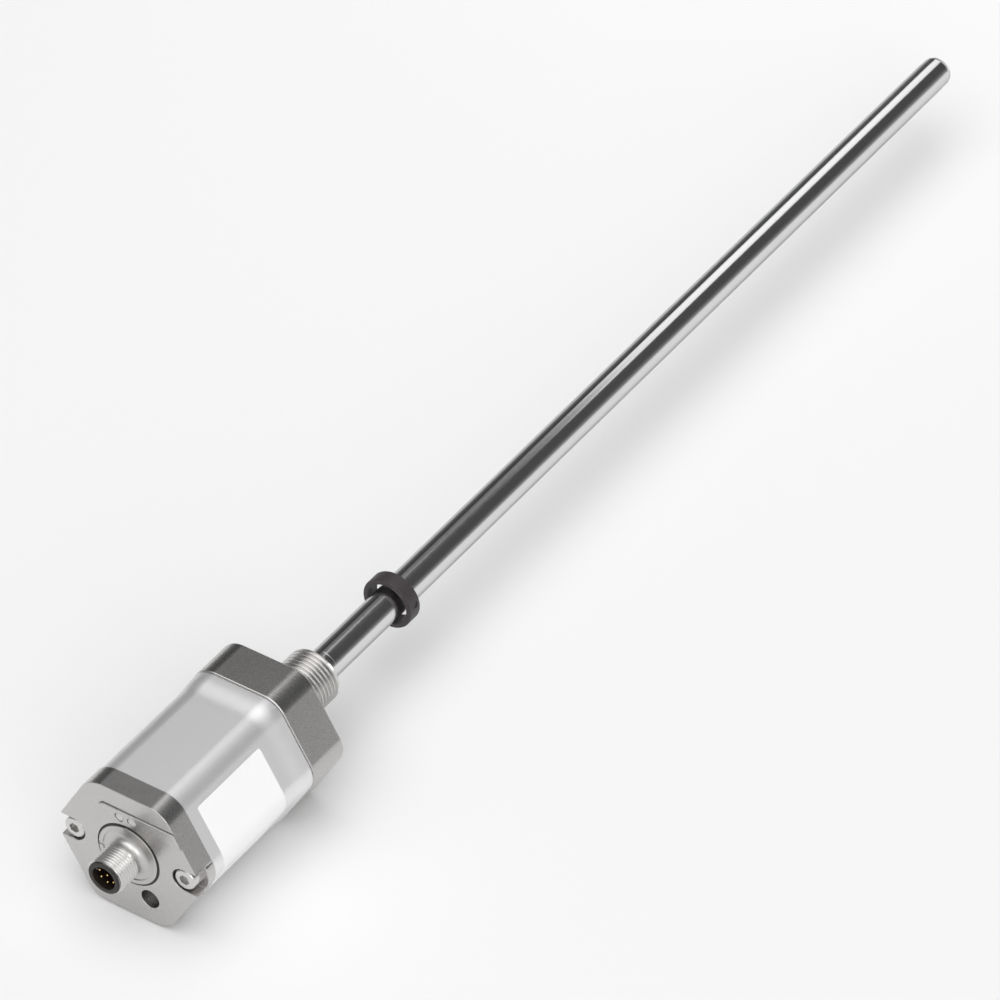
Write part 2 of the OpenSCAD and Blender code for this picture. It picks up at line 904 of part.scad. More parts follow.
mounting_flange();
probe_tube();
tube_end_plug();
housing_sleeve();
front_cover();
tie_screws();
rear_gasket();
front_gasket();
connector_shell();
connector_insert();
connector_pins();
connector_seal();
connector_nut();
connector_board();
light_pipes();
rating_label();
position_magnet();
main_board();
power_board();
board_header();
processor_chip();
signal_chips();
status_leds();
power_inductor();
power_capacitors();
connector_flex();
head_flex();
head_carrier();
pickup_bobbin();
pickup_coil();
bias_magnet();
shield_can();
waveguide();
waveguide_clamp();
waveguide_sleeve();
return_conductor();
centring_spacers();
damping_element();
end_terminal();
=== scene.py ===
from math import cos, pi, radians, sin, sqrt, tan

import bmesh
import bpy
from mathutils import Matrix, Vector


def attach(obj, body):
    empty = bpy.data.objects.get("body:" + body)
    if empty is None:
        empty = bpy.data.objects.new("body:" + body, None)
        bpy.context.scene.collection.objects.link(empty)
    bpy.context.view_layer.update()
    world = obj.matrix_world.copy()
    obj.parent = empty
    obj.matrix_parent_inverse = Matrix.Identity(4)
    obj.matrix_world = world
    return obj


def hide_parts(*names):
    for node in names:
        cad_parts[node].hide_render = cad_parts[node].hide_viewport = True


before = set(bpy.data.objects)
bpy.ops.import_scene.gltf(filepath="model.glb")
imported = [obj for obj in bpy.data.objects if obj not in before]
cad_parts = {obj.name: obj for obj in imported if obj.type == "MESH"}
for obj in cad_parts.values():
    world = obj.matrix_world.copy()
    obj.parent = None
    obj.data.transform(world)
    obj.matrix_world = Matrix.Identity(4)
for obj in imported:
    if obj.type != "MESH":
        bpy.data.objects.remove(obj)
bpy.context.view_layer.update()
scene = bpy.context.scene

# Mounting flange
# A 46 mm hexagon and an M18x1.5 stud, turned and milled from one stainless bar.
# The hexagon's corners are rounded, its edges are broken, and the thread runs
# up to an undercut beside the mounting face.
flange_t = 14.5
flange_af = 46.0
flange_edge = 0.5
corner_r = 8.0
corner_steps = 10
stud_r = 9.0
stud_end = 22.0
stud_pitch = 1.5
undercut_r = 7.7
undercut_end = 2.4
rod_r = 5.1
rod_gap = 0.05


def rounded_hexagon(bm, af, corner, x):
    """One face at x, flats up and down, each corner an arc spun about its middle."""
    reach = (af / 2 - corner) / cos(radians(30))
    rim = []
    for k in range(6):
        heading = radians(60 * k)
        middle = Vector((x, reach * cos(heading), reach * sin(heading)))
        first = heading - radians(30)
        start = bm.verts.new(middle + Vector((0, corner * cos(first), corner * sin(first))))
        bmesh.ops.spin(bm, geom=[start], cent=middle, axis=(1, 0, 0), angle=radians(60), steps=corner_steps)
        linked = [start]
        while len(linked) < corner_steps + 1:
            following = [e.other_vert(linked[-1]) for e in linked[-1].link_edges]
            linked += [v for v in following if v not in linked][:1]
        rim += linked
    return bm.faces.new(rim)


def grow_to(bm, face, x, grow=1.0):
    """Extrudes the end face to x, widened about the axis by the given factor."""
    made = bmesh.ops.extrude_face_region(bm, geom=[face])["geom"]
    face = [f for f in made if isinstance(f, bmesh.types.BMFace)][0]
    here = face.verts[0].co.x
    bmesh.ops.translate(bm, vec=(x - here, 0, 0), verts=face.verts)
    bmesh.ops.scale(bm, vec=(1, grow, grow), verts=face.verts)
    return face


def break_edges(bm, edges, width, segments=3):
    """Rounds the given edges over the given width."""
    bmesh.ops.bevel(bm, geom=list(edges), offset=width, offset_type="OFFSET", segments=segments,
                    profile=0.5, affect="EDGES", material=-1, clamp_overlap=True)


def turn(bm, profile, steps=96):
    """A closed turned shape from points (x, radius), both ends on the axis or one loop."""
    rail = [bm.verts.new((x, r, 0)) for x, r in profile]
    edges = [bm.edges.new(pair) for pair in zip(rail, rail[1:])]
    if profile[0][1] > 0:
        edges.append(bm.edges.new((rail[-1], rail[0])))
    bmesh.ops.spin(bm, geom=rail + edges, cent=(0, 0, 0), axis=(1, 0, 0), angle=2 * pi,
                   steps=steps, use_merge=True)
    bmesh.ops.remove_doubles(bm, verts=bm.verts, dist=1e-5)


def cut_thread(bm, x0, x1, crest, pitch, end_at, start_at, steps=72):
    """A right-hand thread between x0 and x1, its profile spun along a helix and
    faded out at both ends by the cones (x, radius, slope)."""
    depth = 0.61 * pitch
    form = [(0, 0), (0.06, 0.03), (0.34, 0.9), (0.40, 1), (0.52, 1),
            (0.58, 0.9), (0.86, 0.03), (0.93, 0), (1, 0)]
    first = x0 - pitch
    rail = [bm.verts.new((first + u * pitch, crest - depth + h * depth, 0)) for u, h in form]
    edges = [bm.edges.new(pair) for pair in zip(rail, rail[1:])]
    turns = int((x1 - first) / pitch) + 2
    bmesh.ops.spin(bm, geom=rail + edges, cent=(0, 0, 0), axis=(1, 0, 0), angle=2 * pi * turns,
                   steps=steps * turns, dvec=(pitch / steps, 0, 0))
    bmesh.ops.remove_doubles(bm, verts=bm.verts, dist=1e-4)
    for x, side in ((x0, -1), (x1, 1)):
        bmesh.ops.bisect_plane(bm, geom=bm.verts[:] + bm.edges[:] + bm.faces[:], dist=1e-5,
                               plane_co=(x, 0, 0), plane_no=(side, 0, 0), clear_outer=True)
        rim = [e for e in bm.edges if e.is_boundary and all(abs(v.co.x - x) < 1e-3 for v in e.verts)]
        bmesh.ops.holes_fill(bm, edges=rim, sides=0)
    end_x, end_r, end_slope = end_at
    start_x, start_r, start_slope = start_at
    for v in bm.verts:
        out = sqrt(v.co.y ** 2 + v.co.z ** 2)
        room = min(end_r + (end_x - v.co.x) * end_slope, start_r + (v.co.x - start_x) * start_slope)
        room = max(room, crest - depth - 0.1)
        if out > room:
            v.co.y *= room / out
            v.co.z *= room / out


def shade_evenly(piece):
    """Weights the normals by area, so that flats look flat beside their rounded edges."""
    shading = piece.modifiers.new("even_shading", "WEIGHTED_NORMAL")
    shading.keep_sharp = True
    shading.weight = 90


def make_piece(bm, name, body, nodes, material, sharp=32, even=True):
    """Turns the millimetre mesh into a finished object that rides on its body."""
    bmesh.ops.recalc_face_normals(bm, faces=bm.faces)
    bmesh.ops.scale(bm, vec=(0.001, 0.001, 0.001), verts=bm.verts)
    mesh = bpy.data.meshes.new(name)
    bm.to_mesh(mesh)
    bm.free()
    mesh.shade_smooth()
    mesh.set_sharp_from_angle(angle=radians(sharp))
    piece = bpy.data.objects.new(name, mesh)
    scene.collection.objects.link(piece)
    mesh.materials.append(material)
    if even:
        shade_evenly(piece)
    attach(piece, body)
    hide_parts(*nodes)
    return piece


def new_group(name, inputs, outputs):
    """An empty node group with the given sockets, and its two end nodes."""
    group = bpy.data.node_groups.new(name, "ShaderNodeTree")
    for label, kind, value in inputs:
        socket = group.interface.new_socket(label, in_out="INPUT", socket_type=kind)
        socket.default_value = value
    for label, kind in outputs:
        group.interface.new_socket(label, in_out="OUTPUT", socket_type=kind)
    return group, group.nodes.new("NodeGroupInput"), group.nodes.new("NodeGroupOutput")


def blasted_grain():
    """Fine grain of a blasted or tumbled surface: a mask with two sizes of speck, and a normal."""
    group, given, out = new_group(
        "blasted_grain",
        [("Scale", "NodeSocketFloat", 4000.0), ("Height", "NodeSocketFloat", 0.2)],
        [("Mask", "NodeSocketFloat"), ("Normal", "NodeSocketVector")])
    place = group.nodes.new("ShaderNodeTexCoord")
    fine = group.nodes.new("ShaderNodeTexNoise")
    fine.inputs["Detail"].default_value = 3.0
    broad = group.nodes.new("ShaderNodeTexNoise")
    broad.inputs["Scale"].default_value = 160.0
    broad.inputs["Detail"].default_value = 4.0
    both = group.nodes.new("ShaderNodeMix")
    both.inputs["Factor"].default_value = 0.15
    bump = group.nodes.new("ShaderNodeBump")
    bump.inputs["Distance"].default_value = 0.00005
    link = group.links.new
    link(place.outputs["Object"], fine.inputs["Vector"])
    link(place.outputs["Object"], broad.inputs["Vector"])
    link(given.outputs["Scale"], fine.inputs["Scale"])
    link(fine.outputs["Fac"], both.inputs["A"])
    link(broad.outputs["Fac"], both.inputs["B"])
    link(both.outputs["Result"], out.inputs["Mask"])
    link(fine.outputs["Fac"], bump.inputs["Height"])
    link(given.outputs["Height"], bump.inputs["Strength"])
    link(bump.outputs["Normal"], out.inputs["Normal"])
    return group


def turned_lines():
    """Concentric tool marks about the rod's axis: a mask and a normal."""
    group, given, out = new_group(
        "turned_lines",
        [("Lines", "NodeSocketFloat", 6000.0), ("Height", "NodeSocketFloat", 0.15)],
        [("Mask", "NodeSocketFloat"), ("Normal", "NodeSocketVector")])
    place = group.nodes.new("ShaderNodeTexCoord")
    apart = group.nodes.new("ShaderNodeSeparateXYZ")
    flat = group.nodes.new("ShaderNodeCombineXYZ")
    radius = group.nodes.new("ShaderNodeVectorMath")
    radius.operation = "LENGTH"
    along = group.nodes.new("ShaderNodeMath")
    along.operation = "ADD"
    marks = group.nodes.new("ShaderNodeTexNoise")
    marks.noise_dimensions = "1D"
    marks.inputs["Detail"].default_value = 4.0
    bump = group.nodes.new("ShaderNodeBump")
    bump.inputs["Distance"].default_value = 0.00004
    link = group.links.new
    link(place.outputs["Object"], apart.inputs["Vector"])
    link(apart.outputs["Y"], flat.inputs["Y"])
    link(apart.outputs["Z"], flat.inputs["Z"])
    link(flat.outputs["Vector"], radius.inputs[0])
    link(radius.outputs["Value"], along.inputs[0])
    link(apart.outputs["X"], along.inputs[1])
    link(along.outputs["Value"], marks.inputs["W"])
    link(given.outputs["Lines"], marks.inputs["Scale"])
    link(marks.outputs["Fac"], out.inputs["Mask"])
    link(marks.outputs["Fac"], bump.inputs["Height"])
    link(given.outputs["Height"], bump.inputs["Strength"])
    link(bump.outputs["Normal"], out.inputs["Normal"])
    return group


grain_group = blasted_grain()
lines_group = turned_lines()


def finish(name, pale, dark, rough, metal=1.0, group=grain_group, scale=4000.0, height=0.2, spread=0.08,
           edge=1.0):
    """A Principled finish whose colour and roughness follow its group's mask."""
    material = bpy.data.materials.new(name)
    material.use_nodes = True
    tree = material.node_tree
    shader = tree.nodes["Principled BSDF"]
    shader.inputs["Metallic"].default_value = metal
    shader.inputs["Specular Tint"].default_value = (edge, edge, edge, 1)
    detail = tree.nodes.new("ShaderNodeGroup")
    detail.node_tree = group
    detail.inputs[0].default_value = scale
    detail.inputs[1].default_value = height
    colour = tree.nodes.new("ShaderNodeMix")
    colour.data_type = "RGBA"
    colour.inputs["A"].default_value = (*dark, 1)
    colour.inputs["B"].default_value = (*pale, 1)
    gloss = tree.nodes.new("ShaderNodeMapRange")
    gloss.inputs["From Min"].default_value = 0.3
    gloss.inputs["From Max"].default_value = 0.7
    gloss.inputs["To Min"].default_value = rough - spread / 2
    gloss.inputs["To Max"].default_value = rough + spread / 2
    link = tree.links.new
    link(detail.outputs["Mask"], colour.inputs["Factor"])
    link(detail.outputs["Mask"], gloss.inputs["Value"])
    link(colour.outputs["Result"], shader.inputs["Base Color"])
    link(gloss.outputs["Result"], shader.inputs["Roughness"])
    link(detail.outputs["Normal"], shader.inputs["Normal"])
    return material


milled_steel = finish("milled_steel", (0.53, 0.52, 0.51), (0.48, 0.47, 0.465), 0.27, scale=5200, height=0.10)
thread_steel = finish("thread_steel", (0.68, 0.67, 0.66), (0.60, 0.59, 0.58), 0.22, group=lines_group,
                      scale=5000, height=0.1)

flange_mesh = bmesh.new()
face = rounded_hexagon(flange_mesh, flange_af, corner_r, -flange_t)
face = grow_to(flange_mesh, face, 0.0)
rims = [e for e in flange_mesh.edges if abs(e.verts[0].co.x - e.verts[1].co.x) < 1e-6]
break_edges(flange_mesh, rims, flange_edge)
make_piece(flange_mesh, "flange_hexagon", "sensor", ["mounting_flange"], milled_steel)

neck_mesh = bmesh.new()
neck_start = -0.5
neck_end = undercut_end + 0.5
turn(neck_mesh, [(neck_start, rod_r + rod_gap), (neck_start, undercut_r), (undercut_end, undercut_r),
                 (neck_end, undercut_r), (neck_end, rod_r + rod_gap)])
make_piece(neck_mesh, "stud_undercut", "sensor", ["mounting_flange"], thread_steel)

stud_mesh = bmesh.new()
cut_thread(stud_mesh, undercut_end, stud_end, stud_r, stud_pitch, (stud_end, stud_r - 1.0, 1.0),
           (undercut_end, stud_r - 0.9, 1.0))
make_piece(stud_mesh, "stud_thread", "sensor", ["mounting_flange"], thread_steel, sharp=50)

# Probe rod
# A mirror-polished stainless tube, welded into the stud, with a faint joint
# just past it and a welded plug, slightly smaller, that closes the tip.
rod_end = 364.0
plug_start = 359.5
joint_x = 25.8
joint_half = 0.1
joint_dip = 0.03
rod_steps = 160

polished_steel = finish("polished_steel", (0.73, 0.73, 0.73), (0.71, 0.71, 0.71), 0.17, scale=9000,
                        height=0.01, spread=0.02, edge=0.55)

tube_mesh = bmesh.new()
turn(tube_mesh, [(0, 0), (0, rod_r), (joint_x - joint_half, rod_r), (joint_x, rod_r - joint_dip),
                 (joint_x + joint_half, rod_r), (plug_start - joint_dip, rod_r),
                 (plug_start, rod_r - joint_dip), (plug_start, 0)], steps=rod_steps)
make_piece(tube_mesh, "polished_tube", "sensor", ["probe_tube"], polished_steel)

tip_mesh = bmesh.new()
tip_r = rod_r - 0.1
tip_round = 0.4
tip_taper = 1.0
tip_tilt = 14
taper_lead = 0.12
taper_end = rod_end - tip_round * (1 - sin(radians(tip_tilt)))
taper_start = taper_end - tip_taper
round_r = tip_r - tip_taper * tan(radians(tip_tilt)) - tip_round * cos(radians(tip_tilt))
rounding = [(rod_end - tip_round + tip_round * sin(radians(a)), round_r + tip_round * cos(radians(a)))
            for a in (tip_tilt, 24, 38, 52, 65, 78, 90)]
turn(tip_mesh, [(plug_start, 0), (plug_start, tip_r), (taper_start, tip_r),
                (taper_start + taper_lead, tip_r - taper_lead * tan(radians(tip_tilt)))]
     + rounding + [(rod_end, 0)], steps=rod_steps)
make_piece(tip_mesh, "welded_tip", "sensor", ["tube_end_plug"], polished_steel)

# Housing sleeve
# Extruded light-alloy hexagon with a satin clear finish. It stands slightly
# back from the flange and flares out to it in a soft curve with a rounded lip.
sleeve_front = -61.3
sleeve_af = 44.4
sleeve_edge = 0.2
flare_start = -24.0
flare_end = -16.5
flare_af = 45.7
flare_steps = 8
lip_edge = 0.55
lip_gap = 0.05

satin_alloy = finish("satin_alloy", (0.84, 0.835, 0.84), (0.80, 0.795, 0.80), 0.45, metal=0.88, scale=3000,
                     height=0.12, spread=0.06)

sleeve_mesh = bmesh.new()
face = rounded_hexagon(sleeve_mesh, sleeve_af, corner_r, sleeve_front)
face = grow_to(sleeve_mesh, face, flare_start)
width = sleeve_af
for k in range(1, flare_steps + 1):
    share = k / flare_steps
    wider = sleeve_af + (flare_af - sleeve_af) * share * share * (3 - 2 * share)
    face = grow_to(sleeve_mesh, face, flare_start + (flare_end - flare_start) * share, wider / width)
    width = wider
face = grow_to(sleeve_mesh, face, -flange_t - lip_gap)
break_edges(sleeve_mesh, face.edges, lip_edge, 4)
front_rim = [e for e in sleeve_mesh.edges if all(abs(v.co.x - sleeve_front) < 1e-5 for v in e.verts)]
break_edges(sleeve_mesh, front_rim, sleeve_edge)
make_piece(sleeve_mesh, "sleeve_shell", "sensor", ["housing_sleeve"], satin_alloy,
           sharp=25)

# Front cover
# A machined plate with an open notch for each tie screw, a counterbore for the
# plug connector, a raised band with two light windows and a plain blind hole.
cover_front = -69.0
cover_af = 45.0
cover_gap = 0.02
cutter_start = cover_front - 5
notch_floor = -64.7
notch_w = 8.0
notch_edge = 0.6
notch_reach = 40
screw_y = 19.247
band_low = 11.85
band_high = 16.15
band_end = 9.2
band_corner = 1.5
band_rise = 0.5
groove_w = 0.2
groove_run_out = 1.0
groove_floor = cover_front + 0.3
band_root = cover_front + 0.6
light_y = 2.15
light_z = 13.6
window_r = 1.5
window_floor = cover_front + 3
counterbore_r = 10.75
counterbore_floor = -68.2
hole_r = 3.1
hole_y = -6.8
hole_z = -13.8
hole_floor = cover_front + 6


def solid_box(low, high):
    """A box between two corners."""
    bm = bmesh.new()
    bmesh.ops.create_cube(bm, size=1.0)
    bmesh.ops.scale(bm, vec=[h - l for l, h in zip(low, high)], verts=bm.verts)
    bmesh.ops.translate(bm, vec=[(l + h) / 2 for l, h in zip(low, high)], verts=bm.verts)
    return bm


def solid_bar(x0, x1, r, y=0.0, z=0.0, steps=64):
    """A round bar along the rod's direction, its axis at y and z."""
    bm = bmesh.new()
    bmesh.ops.create_cone(bm, cap_ends=True, segments=steps, radius1=r, radius2=r, depth=x1 - x0)
    bmesh.ops.rotate(bm, cent=(0, 0, 0), matrix=Matrix.Rotation(radians(90), 3, "Y"), verts=bm.verts)
    bmesh.ops.translate(bm, vec=((x0 + x1) / 2, y, z), verts=bm.verts)
    return bm


def carve(bm, cutters, keep="DIFFERENCE"):
    """Cuts the given solids out of bm, or joins them to it, and returns the new mesh."""
    made = []
    for source in [bm] + cutters:
        bmesh.ops.recalc_face_normals(source, faces=source.faces)
        mesh = bpy.data.meshes.new("blank")
        source.to_mesh(mesh)
        source.free()
        made.append(bpy.data.objects.new("blank", mesh))
        scene.collection.objects.link(made[-1])
    for cutter in made[1:]:
        step = made[0].modifiers.new("cut", "BOOLEAN")
        step.operation = keep
        step.solver = "EXACT"
        step.object = cutter
    evaluated = made[0].evaluated_get(bpy.context.evaluated_depsgraph_get())
    result = bmesh.new()
    result.from_mesh(evaluated.to_mesh())
    for blank in made:
        mesh = blank.data
        bpy.data.objects.remove(blank)
        bpy.data.meshes.remove(mesh)
    return result


def band_block(room, run_out, back):
    """The band's outline grown by room all round, standing on the depth called back."""
    bm = bmesh.new()
    low_z = band_low - room
    high_z = band_high + room
    end_y = band_end + room
    low_y = -(cover_af / 2 - low_z / 2) / cos(radians(30)) - run_out
    high_y = -(cover_af / 2 - high_z / 2) / cos(radians(30)) - run_out
    outline = ((low_y, low_z), (high_y, high_z), (end_y, high_z), (end_y, low_z))
    corners = [bm.verts.new((cover_front - band_rise, y, z)) for y, z in outline]
    bm.faces.new(corners)
    bmesh.ops.bevel(bm, geom=corners[2:], offset=band_corner + room, offset_type="OFFSET", segments=8,
                    profile=0.5, affect="VERTICES", material=-1)
    bm.faces.ensure_lookup_table()
    grow_to(bm, bm.faces[0], back)
    return bm


cover_metal = finish("cover_metal", (0.56, 0.55, 0.545), (0.52, 0.51, 0.505), 0.28, scale=5200, height=0.08)

plate_mesh = bmesh.new()
face = rounded_hexagon(plate_mesh, cover_af, corner_r, cover_front)
face = grow_to(plate_mesh, face, sleeve_front + cover_gap)
plate_mesh = carve(plate_mesh, [band_block(groove_w, groove_run_out, groove_floor)])
plate_mesh = carve(plate_mesh, [band_block(0.0, 0.0, band_root)], "UNION")

cutters = [
    solid_bar(cutter_start, counterbore_floor, counterbore_r, steps=96),
    solid_bar(cutter_start, hole_floor, hole_r, hole_y, hole_z, 48),
]
for side in (-1, 1):
    cutters.append(solid_bar(cutter_start, notch_floor, notch_w / 2, side * screw_y, 0, 64))
    cutters.append(solid_bar(cutter_start, window_floor, window_r, side * light_y, light_z, 40))
plate_mesh = carve(plate_mesh, cutters)
open_ends = []
for side in (-1, 1):
    low = side * screw_y
    high = side * notch_reach
    open_ends.append(solid_box((cutter_start, min(low, high), -notch_w / 2),
                               (notch_floor, max(low, high), notch_w / 2)))
plate_mesh = carve(plate_mesh, open_ends)
mouths = [e for e in plate_mesh.edges if abs(e.verts[0].co.y - e.verts[1].co.y) < 1e-4
          and abs(e.verts[0].co.z - e.verts[1].co.z) < 1e-4 and abs(abs(e.verts[0].co.z) - notch_w / 2) < 1e-3
          and abs(e.verts[0].co.y) > screw_y + 2]
break_edges(plate_mesh, mouths, notch_edge, 5)
bmesh.ops.remove_doubles(plate_mesh, verts=plate_mesh.verts, dist=1e-3)
bmesh.ops.triangulate(plate_mesh, faces=plate_mesh.faces)
plate = make_piece(plate_mesh, "cover_plate", "sensor", ["front_cover"], cover_metal,
                   even=False)
edge_break = plate.modifiers.new("edge_break", "BEVEL")
edge_break.width = 0.00012
edge_break.segments = 2
edge_break.limit_method = "ANGLE"
edge_break.angle_limit = radians(40)
edge_break.use_clamp_overlap = False
edge_break.loop_slide = False
shade_evenly(plate)

# Light windows
# Two clear light pipes end just below the band's face, each in its own hole.
# Their ends are slightly domed.
pipe_r = 1.43
pipe_back = -58.9


def add_mesh(whole, bm):
    """Adds the mesh bm to the whole, and frees it."""
    held = bpy.data.meshes.new("one")
    bm.to_mesh(held)
    bm.free()
    whole.from_mesh(held)
    bpy.data.meshes.remove(held)


clear_window = finish("clear_window", (0.56, 0.56, 0.55), (0.50, 0.50, 0.49), 0.22, metal=0.0, scale=2500,
                      height=0.05)
window_mesh = bmesh.new()
for side in (-1, 1):
    one = bmesh.new()
    turn(one, [(cover_front - 0.35, 0), (cover_front - 0.34, 0.7), (cover_front - 0.3, 1.1),
               (cover_front - 0.2, 1.38), (cover_front + 0.1, pipe_r), (pipe_back, pipe_r), (pipe_back, 0)],
         steps=40)
    bmesh.ops.translate(one, vec=(0, side * light_y, light_z), verts=one.verts)
    add_mesh(window_mesh, one)
make_piece(window_mesh, "light_windows", "sensor", ["light_pipes"], clear_window)

# Tie screws
# Bright M4 socket-head screws that pull cover, sleeve and flange together.
# Their heads sit flush in the notches.
head_r = 3.5
head_h = 4.0
head_face = notch_floor - head_h
head_flat_r = 2.95
shank_r = 2.0
shank_end = -10.5
point_r = 1.5
point_end = -9.5
socket_r = 1.75
socket_depth = 2.0
socket_turn = 12

screw_steel = finish("screw_steel", (0.68, 0.67, 0.66), (0.60, 0.59, 0.58), 0.24, group=lines_group,
                     scale=4000, height=0.12)
screw_mesh = bmesh.new()
for side in (-1, 1):
    one = bmesh.new()
    turn(one, [(head_face, 0), (head_face, head_flat_r), (head_face + 0.12, 3.2), (head_face + 0.35, 3.42),
               (head_face + 0.7, head_r), (notch_floor, head_r), (notch_floor, shank_r), (shank_end, shank_r),
               (point_end, point_r), (point_end, 0)], steps=72)
    socket = bmesh.new()
    bmesh.ops.create_cone(socket, cap_ends=True, segments=6, radius1=socket_r, radius2=socket_r,
                          depth=2 * socket_depth)
    for angle, axis in ((90, "Y"), (socket_turn, "X")):
        bmesh.ops.rotate(socket, cent=(0, 0, 0), matrix=Matrix.Rotation(radians(angle), 3, axis),
                         verts=socket.verts)
    bmesh.ops.translate(socket, vec=(head_face, 0, 0), verts=socket.verts)
    one = carve(one, [socket])
    bmesh.ops.translate(one, vec=(0, side * screw_y, 0), verts=one.verts)
    add_mesh(screw_mesh, one)
make_piece(screw_mesh, "socket_screws", "sensor", ["tie_screws"], screw_steel)

# Plug connector
# Nickel-plated M12x1 shell: a slotted raised rim, a fillet down to a smooth
# neck, and a fine thread with a bevelled mouth.
con_front = -80.7
thread_start = -80.3
thread_stop = -72.0
thread_r = 6.0
thread_pitch = 1.0
shell_back = -61.9
shell_bore_r = 4.5
collar_r = 7.8
seat_r = 8.9
rim_r = 10.1
rim_face = -69.4
rim_in = 8.65
inner_face = -69.1
neck_r = 5.2
fillet_r = 2.2
slot_half = 0.6
slot_low = 8.3
slot_high = 10.6

plated_shell = finish("plated_shell", (0.59, 0.58, 0.57), (0.52, 0.51, 0.50), 0.38, group=lines_group,
                      scale=4500, height=0.1)
plated_thread = finish("plated_thread", (0.64, 0.63, 0.62), (0.58, 0.57, 0.56), 0.20, scale=5000, height=0.04)

shell_mesh = bmesh.new()
collar = [(shell_back, shell_bore_r), (shell_back, collar_r), (counterbore_floor, collar_r),
          (counterbore_floor, seat_r), (cover_front, seat_r)]
rim = [(cover_front, 10.0), (cover_front - 0.1, rim_r), (rim_face + 0.12, rim_r), (rim_face, 9.98),
       (rim_face, 8.77), (rim_face + 0.1, rim_in), (inner_face, rim_in)]
fillet = [(inner_face - fillet_r + fillet_r * cos(radians(a)), neck_r + fillet_r - fillet_r * sin(radians(a)))
          for a in range(0, 91, 10)]
neck = [(thread_stop + 0.4, neck_r), (thread_stop - 0.6, neck_r), (thread_stop - 0.6, shell_bore_r)]
turn(shell_mesh, collar + rim + fillet + neck, steps=128)
slots = []
for angle in (0, 90):
    slot = solid_box((rim_face - 1, -slot_half, slot_low), (inner_face, slot_half, slot_high))
    bmesh.ops.rotate(slot, cent=(0, 0, 0), matrix=Matrix.Rotation(radians(-angle), 3, "X"), verts=slot.verts)
    slots.append(slot)
shell_mesh = carve(shell_mesh, slots)
make_piece(shell_mesh, "plug_shell", "sensor", ["connector_shell"], plated_shell, sharp=28)

barrel_mesh = bmesh.new()
cut_thread(barrel_mesh, thread_start, thread_stop, thread_r, thread_pitch, (thread_stop, 5.3, 1.2),
           (thread_start, 5.45, 1.0))
make_piece(barrel_mesh, "plug_thread", "sensor", ["connector_shell"], plated_thread, sharp=50)

# Plug insert
# Black moulded insert that fills the shell. It has a rounded rim and a deep
# round mouth with a coding key.
mouth_r = 3.8
mouth_floor = -72.8
lip_r = 5.42
body_r = 4.4
insert_back = -61.3
key_turn = 140.0
key_half = 0.55
key_edge = 0.12

black_insert = finish("black_insert", (0.013, 0.008, 0.006), (0.008, 0.005, 0.004), 0.45, metal=0.0,
                      scale=2500, height=0.15)
insert_mesh = bmesh.new()
mouth = [(mouth_floor, 0), (mouth_floor, mouth_r), (con_front + 0.3, mouth_r),
         (con_front + 0.08, mouth_r + 0.1), (con_front, mouth_r + 0.35)]
lip = [(con_front, 5.05), (con_front + 0.08, 5.32), (con_front + 0.35, lip_r), (thread_start + 0.6, lip_r)]
body = [(thread_start + 0.6, body_r), (insert_back, body_r), (insert_back, 0)]
turn(insert_mesh, mouth + lip + body, steps=96)
key = solid_box((con_front + 0.5, mouth_r - 0.8, -key_half), (mouth_floor, mouth_r + 0.2, key_half))
break_edges(key, key.edges, key_edge, 2)
bmesh.ops.rotate(key, cent=(0, 0, 0), matrix=Matrix.Rotation(radians(180 - key_turn), 3, "X"),
                 verts=key.verts)
add_mesh(insert_mesh, key)
make_piece(insert_mesh, "plug_insert", "sensor", ["connector_insert"], black_insert)

# Contact pins
# Eight gold-plated pins with rounded tips: seven on a circle, one in the middle.
# The circle stands half a pitch on from the coding key.
pin_count = 8
pin_circle = 2.75
pin_r = 0.4
pin_tip = -79.2
pin_back = -59.6

gold_plate = finish("gold_plate", (0.90, 0.63, 0.26), (0.80, 0.54, 0.20), 0.22, scale=3000, height=0.05)
pins_mesh = bmesh.new()
for k in range(pin_count):
    angle = radians(key_turn + (k + 0.5) * 360 / (pin_count - 1))
    away = 0.0 if k == pin_count - 1 else pin_circle
    one = bmesh.new()
    turn(one, [(pin_tip, 0), (pin_tip + 0.04, 0.18), (pin_tip + 0.15, 0.31), (pin_tip + 0.35, pin_r),
               (pin_back, pin_r), (pin_back, 0)], steps=24)
    bmesh.ops.translate(one, vec=(0, -away * cos(angle), away * sin(angle)), verts=one.verts)
    add_mesh(pins_mesh, one)
make_piece(pins_mesh, "contact_pins", "sensor", ["connector_pins"], gold_plate)

# Plug seal
# A black rubber ring around the shell's rim, in the cover's counterbore.
# Its outer edge is rounded.
seal_in = 9.0
seal_out = 10.68

seal_rubber = finish("seal_rubber", (0.02, 0.02, 0.02), (0.012, 0.012, 0.012), 0.3, metal=0.0, scale=2000,
                     height=0.1)
seal_mesh = bmesh.new()
turn(seal_mesh, [(counterbore_floor, seal_in), (counterbore_floor, seal_out), (cover_front + 0.25, seal_out),
                 (cover_front + 0.08, 10.55), (cover_front + 0.03, 10.35), (cover_front + 0.05, seal_in)],
     steps=128)
make_piece(seal_mesh, "rim_seal", "sensor", ["connector_seal"], seal_rubber)

# Rating label
# A thin white satin film on one flat, wrapped round the corner below it.
# Its upper corners are hardly rounded, and its lower ones more.
label_x0 = -56.8
label_x1 = -27.3
label_up = 6.6
label_t = 0.12
upper_round = 0.7
lower_round = 3.0
bend_steps = 20

